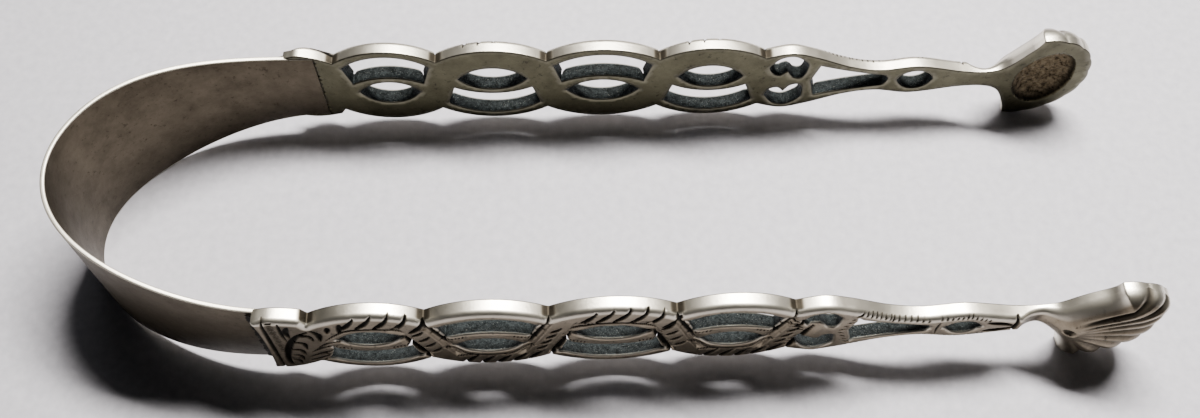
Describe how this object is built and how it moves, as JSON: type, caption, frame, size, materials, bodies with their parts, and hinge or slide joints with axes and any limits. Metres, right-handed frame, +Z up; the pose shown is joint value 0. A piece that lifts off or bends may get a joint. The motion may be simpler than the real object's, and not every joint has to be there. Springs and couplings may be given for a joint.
{
  "type": "sugar or ice tongs",
  "caption": "Bow-sprung silver tongs with pierced ribbon-pattern cast arms and scallop-shell grips, for lifting ice or sugar lumps.",
  "frame": {"origin": "on the table, under the middle of the bounding box of the tongs as they lie on edge", "axes": "+X runs along the tongs from the crown of the bow to the shell grips, +Y is the left arm's side, +Z is up from the table"},
  "size_m": [0.1344, 0.0416, 0.0205],
  "materials": {
    "sheet_silver": "aged sterling silver sheet, soft polish with brown-grey tarnish",
    "cast_silver": "aged cast sterling silver, bright on the edges and black in the cut lines",
    "hard_solder": "oxidised silver solder, dark and matt"
  },
  "bodies": {
    "bow": {"bow_crown": "sheet_silver"},
    "left_half": {"bow_shoulder_left": "sheet_silver", "solder_seam_left": "hard_solder", "cast_arm_left": "cast_silver"},
    "right_half": {"bow_shoulder_right": "sheet_silver", "solder_seam_right": "hard_solder", "cast_arm_right": "cast_silver"}
  },
  "joints": [
    {"name": "left_flexure", "type": "hinge", "parent": "bow", "child": "left_half", "pos_m": [-0.05758, 0.01315, 0.01014], "axis": [-0.0142, 0, -0.9999], "range_deg": [-2, 7.75], "stiffness_Nm_per_rad": 1.2},
    {"name": "right_flexure", "type": "hinge", "parent": "bow", "child": "right_half", "pos_m": [-0.05758, -0.01315, 0.01014], "axis": [0.0142, 0, 0.9999], "range_deg": [-2, 7.75], "stiffness_Nm_per_rad": 1.2}
  ],
  "couplings": [
    {"joint": "right_flexure", "follows": "left_flexure", "ratio": 1}
  ]
}
